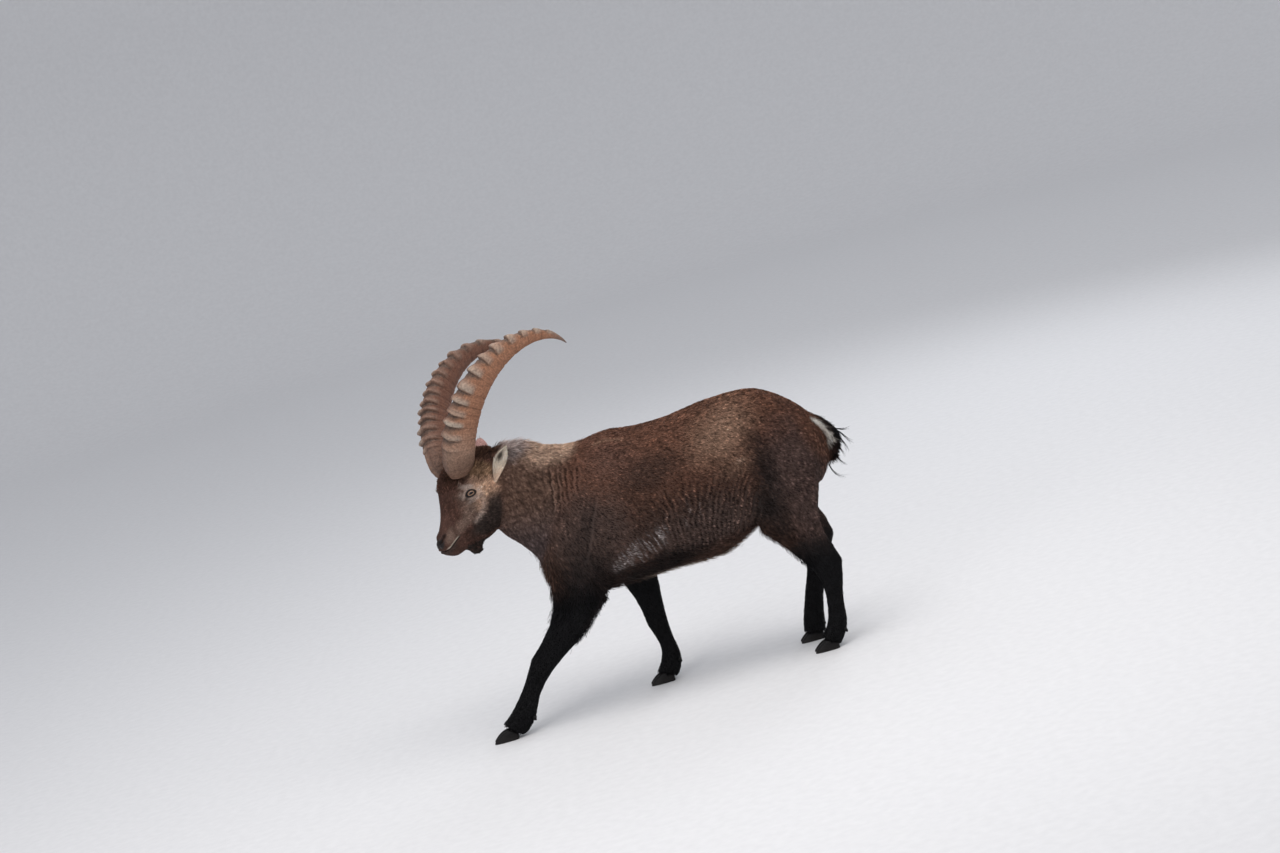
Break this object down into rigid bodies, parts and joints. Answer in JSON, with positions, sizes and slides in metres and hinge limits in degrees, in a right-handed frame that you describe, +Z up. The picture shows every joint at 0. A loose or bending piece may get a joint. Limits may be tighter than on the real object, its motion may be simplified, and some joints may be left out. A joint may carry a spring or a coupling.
{
  "type": "alpine ibex, still life-size model",
  "caption": "Adult male alpine ibex walking with lowered, turned head and long ridged horns swept back; a still, life-size museum-style model standing on flat soles.",
  "frame": {"origin": "on the floor, under the middle of the animal's bounding box", "axes": "+Z up; the animal faces -X and its left side is towards -Y"},
  "size_m": [1.395, 0.501, 1.3131],
  "materials": {
    "coat": "short dense hair, reddish brown with tan and grey parts",
    "leg_coat": "short flat hair, near black",
    "horn": "dull ringed keratin with greyish knobs",
    "eye": "wet gloss",
    "hoof": "dull hard keratin"
  },
  "bodies": {
    "root": {"eye_left": "eye", "eye_right": "eye", "horn_left": "horn", "horn_right": "horn", "ear_left": "coat", "ear_right": "coat", "beard": "coat", "head": "coat", "lower_jaw": "coat", "neck": "coat", "trunk": "coat", "tail": "coat", "foreleg_left": "leg_coat", "foreleg_right": "leg_coat", "hindleg_left": "leg_coat", "hindleg_right": "leg_coat", "foreleg_left_claw_inner": "hoof", "foreleg_left_claw_outer": "hoof", "foreleg_left_dewclaw_inner": "hoof", "foreleg_left_dewclaw_outer": "hoof", "foreleg_right_claw_inner": "hoof", "foreleg_right_claw_outer": "hoof", "foreleg_right_dewclaw_inner": "hoof", "foreleg_right_dewclaw_outer": "hoof", "hindleg_left_claw_inner": "hoof", "hindleg_left_claw_outer": "hoof", "hindleg_left_dewclaw_inner": "hoof", "hindleg_left_dewclaw_outer": "hoof", "hindleg_right_claw_inner": "hoof", "hindleg_right_claw_outer": "hoof", "hindleg_right_dewclaw_inner": "hoof", "hindleg_right_dewclaw_outer": "hoof"}
  },
  "joints": []
}
